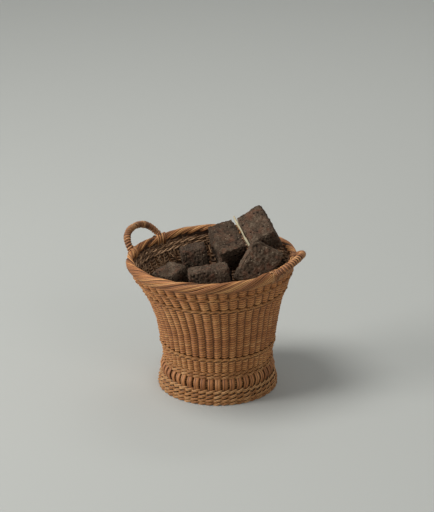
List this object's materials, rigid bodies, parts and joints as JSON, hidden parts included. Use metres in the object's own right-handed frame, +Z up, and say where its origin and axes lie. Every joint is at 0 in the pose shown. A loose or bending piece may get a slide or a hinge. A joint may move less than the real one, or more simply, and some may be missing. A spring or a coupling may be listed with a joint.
{
  "type": "footed wicker fuel basket with peat blocks",
  "caption": "Round footed willow basket with a flared twined wall, a rolled border and wrapped side handles, filled with loose cut blocks of dried peat.",
  "frame": {"origin": "on the floor, under the middle of the whole object's bounding box", "axes": "+Z up, +X to the right and -Y towards the viewer of the picture"},
  "size_m": [0.4162, 0.4006, 0.4262],
  "materials": {
    "willow": "dry peeled willow, warm brown, satin",
    "willow_pale": "dry peeled willow, paler and smoother",
    "willow_dark": "dusty willow inside the basket, matte",
    "peat": "dried cut peat, rough and fibrous, matte",
    "peat_deep": "dried cut peat low in the basket, matte",
    "reed": "bleached reed stem, matte"
  },
  "bodies": {
    "basket": {"foot_row_bottom": "willow", "foot_row_middle": "willow", "foot_row_top": "willow", "foot_inner_weave": "willow_dark", "foot_slats": "willow_pale", "waist_wale_lower": "willow", "waist_wale_upper": "willow", "base_weave_upper": "willow_dark", "base_weave_lower": "willow_dark", "base_sticks": "willow", "side_stakes": "willow", "lower_band_weave": "willow", "twined_line_low": "willow_pale", "main_wall_weave": "willow", "twined_line_middle": "willow_pale", "upper_band_low": "willow", "twined_line_high": "willow_pale", "upper_band_high": "willow", "inner_wall_weave": "willow_dark", "left_handle_core": "willow", "left_handle_wrap": "willow_pale", "right_handle_core": "willow", "right_handle_wrap": "willow_pale", "border": "willow", "peat_deep_back_left": "peat_deep", "peat_deep_back_right": "peat_deep", "peat_deep_front_left": "peat_deep", "peat_deep_front_right": "peat_deep", "peat_under_back_right": "peat_deep", "peat_under_front_right": "peat_deep", "peat_under_back_middle": "peat_deep", "peat_under_front_middle": "peat_deep", "peat_under_back_left": "peat_deep", "peat_under_left": "peat_deep", "peat_under_front": "peat_deep"},
    "block_back_right": {"peat_back_right": "peat", "reed_stem": "reed"},
    "block_middle": {"peat_middle": "peat"},
    "block_front_right": {"peat_front_right": "peat"},
    "block_front_middle": {"peat_front_middle": "peat"},
    "block_back_left": {"peat_back_left": "peat"},
    "block_front_left": {"peat_front_left": "peat"}
  },
  "joints": [
    {"name": "lift_back_right", "type": "slide", "parent": "basket", "child": "block_back_right", "axis": [0, 0.0797, 0.9968], "range_m": [0, 0.3]},
    {"name": "lift_middle", "type": "slide", "parent": "basket", "child": "block_middle", "axis": [-0.1961, 0, 0.9806], "range_m": [0, 0.25]},
    {"name": "lift_front_right", "type": "slide", "parent": "basket", "child": "block_front_right", "axis": [-0.2149, 0, 0.9766], "range_m": [0, 0.25]},
    {"name": "lift_front_middle", "type": "slide", "parent": "basket", "child": "block_front_middle", "axis": [0, 0, 1], "range_m": [0, 0.15]},
    {"name": "lift_back_left", "type": "slide", "parent": "basket", "child": "block_back_left", "axis": [-0.1476, 0.0984, 0.9841], "range_m": [0, 0.15]},
    {"name": "lift_front_left", "type": "slide", "parent": "basket", "child": "block_front_left", "axis": [-0.099, -0.099, 0.9901], "range_m": [0, 0.2]}
  ]
}
